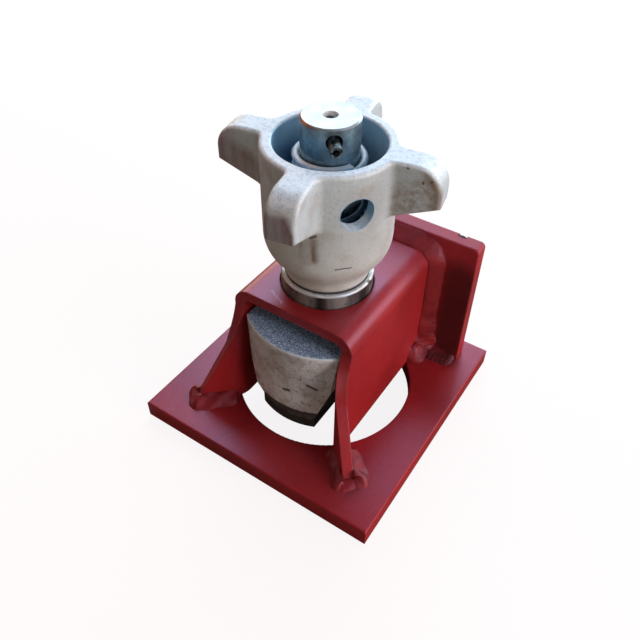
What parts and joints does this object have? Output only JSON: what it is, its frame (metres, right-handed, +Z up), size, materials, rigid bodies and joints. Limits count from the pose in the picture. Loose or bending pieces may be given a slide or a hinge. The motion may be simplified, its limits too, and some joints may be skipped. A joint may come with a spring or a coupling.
{
  "type": "container twistlock",
  "caption": "Screw-down container twistlock: a winged cup nut on a welded steel channel bracket raises and lowers a wedge-shaped lock head.",
  "frame": {"origin": "on the lock's axis, at the underside of the base plate, which is the centre of the bottom of the part's box", "axes": "+Z up along the lock's axis, +Y towards the rear plate, -Y towards the open mouth between the flared feet, +X to the right seen from the mouth"},
  "size_m": [0.15, 0.152, 0.184],
  "materials": {
    "bracket_paint": "worn semi-gloss dark red paint",
    "weld_paint": "painted weld bead",
    "bush_steel": "turned and polished",
    "head_cast": "galvanised rough casting",
    "nut_cast": "galvanised casting",
    "plated_steel": "dull zinc plate",
    "pin_steel": "bright spring steel",
    "spring_steel": "bright zinc plate"
  },
  "bodies": {
    "bracket": {"base_plate": "bracket_paint", "housing_channel": "bracket_paint", "rear_plate": "bracket_paint", "foot_weld_left": "weld_paint", "foot_weld_right": "weld_paint", "wall_weld_left": "weld_paint", "wall_weld_right": "weld_paint", "channel_seam_weld": "weld_paint", "rear_plate_weld_left": "weld_paint", "rear_plate_weld_right": "weld_paint", "rear_plate_weld_back": "weld_paint", "guide_bush": "bush_steel", "bush_weld_front": "weld_paint", "bush_weld_rear": "weld_paint"},
    "nut": {"wing_nut": "nut_cast", "spring_seat_washer": "plated_steel", "spring": "spring_steel"},
    "lock": {"lock_head": "head_cast", "spindle": "plated_steel", "spindle_weld": "plated_steel", "spring_pin": "pin_steel"}
  },
  "joints": [
    {"name": "nut_turn", "type": "hinge", "parent": "bracket", "child": "nut", "pos_m": [0, 0, 0.1], "axis": [0, 0, 1], "range_deg": [-210, 2100]},
    {"name": "lock_slide", "type": "slide", "parent": "bracket", "child": "lock", "axis": [0, 0, -1], "range_m": [-0.003, 0.03], "deforming": ["spring"]}
  ],
  "couplings": [
    {"joint": "lock_slide", "follows": "nut_turn", "m_per_rad": 0.00079577}
  ]
}
